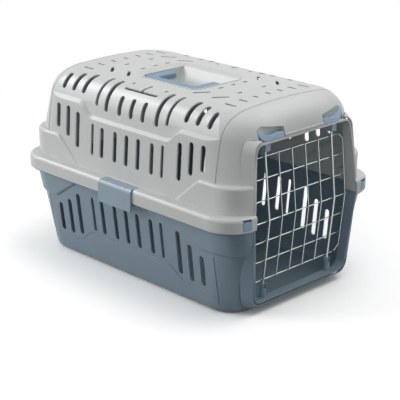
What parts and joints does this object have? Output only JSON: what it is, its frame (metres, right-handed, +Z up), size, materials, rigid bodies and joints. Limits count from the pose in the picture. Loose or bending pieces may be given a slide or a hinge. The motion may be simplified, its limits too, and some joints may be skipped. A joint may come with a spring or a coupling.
{
  "type": "pet carrier",
  "caption": "Hard two-shell pet carrier with ventilation slots, a barred wire door, sliding door latches, side clips and a fold-down carry handle.",
  "frame": {"origin": "on the ground, under the middle of the carrier", "axes": "+Z up, +Y from the door to the rear, +X across the carrier"},
  "size_m": [0.3324, 0.484, 0.302],
  "materials": {
    "upper_plastic": "satin injection-moulded polypropylene, light grey",
    "lower_plastic": "satin injection-moulded polypropylene, blue-grey",
    "handle_plastic": "satin plastic, light blue",
    "latch_plastic": "satin plastic, grey-blue",
    "clip_plastic": "satin plastic, blue",
    "key_plastic": "satin plastic, light blue",
    "zinc_wire": "bright zinc-plated steel wire"
  },
  "bodies": {
    "shell": {"lower_shell": "lower_plastic", "upper_shell": "upper_plastic", "rim_key_left": "key_plastic", "rim_key_right": "key_plastic"},
    "handle": {"carry_handle": "handle_plastic"},
    "door": {"door_rod_left": "zinc_wire", "door_rod_right": "zinc_wire", "door_cross_wire_1": "zinc_wire", "door_cross_wire_2": "zinc_wire", "door_cross_wire_3": "zinc_wire", "door_cross_wire_4": "zinc_wire", "door_cross_wire_5": "zinc_wire", "door_cross_wire_6": "zinc_wire", "door_cross_wire_7": "zinc_wire", "door_upright_1": "zinc_wire", "door_upright_2": "zinc_wire", "door_upright_3": "zinc_wire", "door_upright_4": "zinc_wire", "door_edge_left": "zinc_wire", "door_edge_right": "zinc_wire"},
    "latch_left": {"door_latch_left": "latch_plastic"},
    "latch_right": {"door_latch_right": "latch_plastic"},
    "clip_left": {"side_clip_left": "clip_plastic"},
    "clip_right": {"side_clip_right": "clip_plastic"}
  },
  "joints": [
    {"name": "handle_fold", "type": "hinge", "parent": "shell", "child": "handle", "pos_m": [0, 0, 0.2935], "axis": [0, 1, 0], "range_deg": [0, 95]},
    {"name": "door_swing", "type": "hinge", "parent": "shell", "child": "door", "pos_m": [0.072, -0.2194, 0.1403], "axis": [0, 0, 1], "range_deg": [0, 115]},
    {"name": "latch_left_lift", "type": "slide", "parent": "shell", "child": "latch_left", "axis": [0, 0, 1], "range_m": [0, 0.005], "stiffness_N_per_m": 150, "springref_m": -0.005},
    {"name": "latch_right_lift", "type": "slide", "parent": "shell", "child": "latch_right", "axis": [0, 0, 1], "range_m": [0, 0.005], "stiffness_N_per_m": 150, "springref_m": -0.005},
    {"name": "clip_left_swing", "type": "hinge", "parent": "shell", "child": "clip_left", "pos_m": [-0.1505, 0, 0.1595], "axis": [0, 1, 0], "range_deg": [0, 100]},
    {"name": "clip_right_swing", "type": "hinge", "parent": "shell", "child": "clip_right", "pos_m": [0.1505, 0, 0.1595], "axis": [0, -1, 0], "range_deg": [0, 100]}
  ]
}
